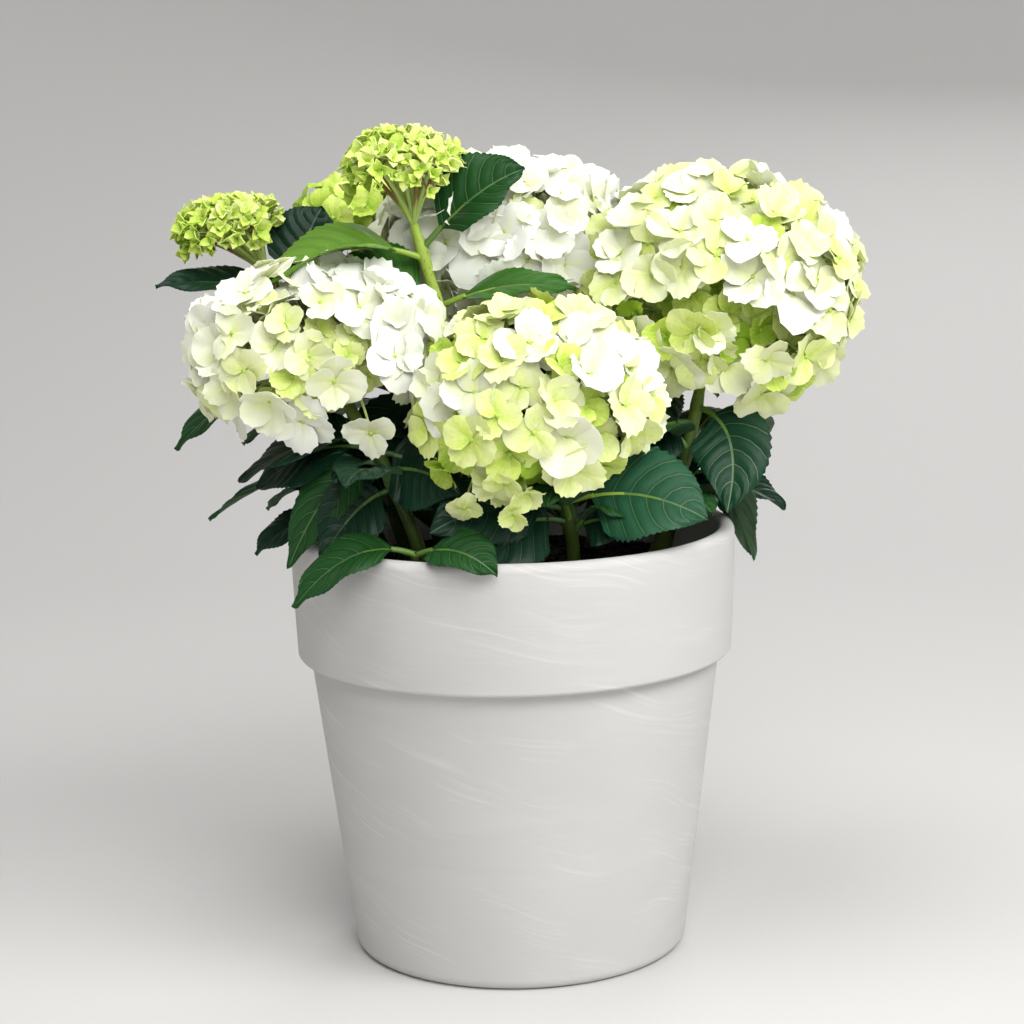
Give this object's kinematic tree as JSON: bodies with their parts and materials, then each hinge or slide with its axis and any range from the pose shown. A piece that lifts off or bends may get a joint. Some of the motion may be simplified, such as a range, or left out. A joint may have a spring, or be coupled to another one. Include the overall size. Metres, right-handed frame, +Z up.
{
  "type": "hydrangea shrub",
  "caption": "Leafy garden shrub with domed heads of broad-petalled florets on upright stems, in a round clay pot with a rim band.",
  "frame": {"origin": "centre of the pot's flat underside", "axes": "+Z up, -Y towards the front view, +X to the right of it"},
  "size_m": [0.3963, 0.3365, 0.4666],
  "materials": {
    "clay": "matt washed clay",
    "soil": "crumbly damp potting mix",
    "stem": "satin green stem",
    "leaf": "semi-gloss leaf",
    "white_petal": "soft matt petal",
    "cream_petal": "soft matt petal",
    "lime_petal": "soft matt petal"
  },
  "bodies": {
    "root": {"pot": "clay", "soil": "soil", "stem_front_left": "stem", "foliage_front_left": "leaf", "bloom_front_left": "cream_petal", "stem_front_centre": "stem", "foliage_front_centre": "leaf", "bloom_front_centre": "cream_petal", "stem_right": "stem", "foliage_right": "leaf", "bloom_right": "cream_petal", "stem_top_centre": "stem", "foliage_top_centre": "leaf", "bloom_top_centre": "white_petal", "stem_top_bud": "stem", "foliage_top_bud": "leaf", "bloom_top_bud": "lime_petal", "stem_left_bud": "stem", "foliage_left_bud": "leaf", "bloom_left_bud": "lime_petal", "stem_back_left_lime": "stem", "foliage_back_left_lime": "leaf", "bloom_back_left_lime": "lime_petal", "stem_left_lime": "stem", "foliage_left_lime": "leaf", "bloom_left_lime": "lime_petal", "stem_back_right": "stem", "foliage_back_right": "leaf", "bloom_back_right": "cream_petal", "stem_back_left": "stem", "foliage_back_left": "leaf", "bloom_back_left": "white_petal", "stem_front_low": "stem", "foliage_front_low": "leaf", "stem_low_left": "stem", "foliage_low_left": "leaf", "stem_low_right": "stem", "foliage_low_right": "leaf", "stem_low_back": "stem", "foliage_low_back": "leaf"}
  },
  "joints": []
}
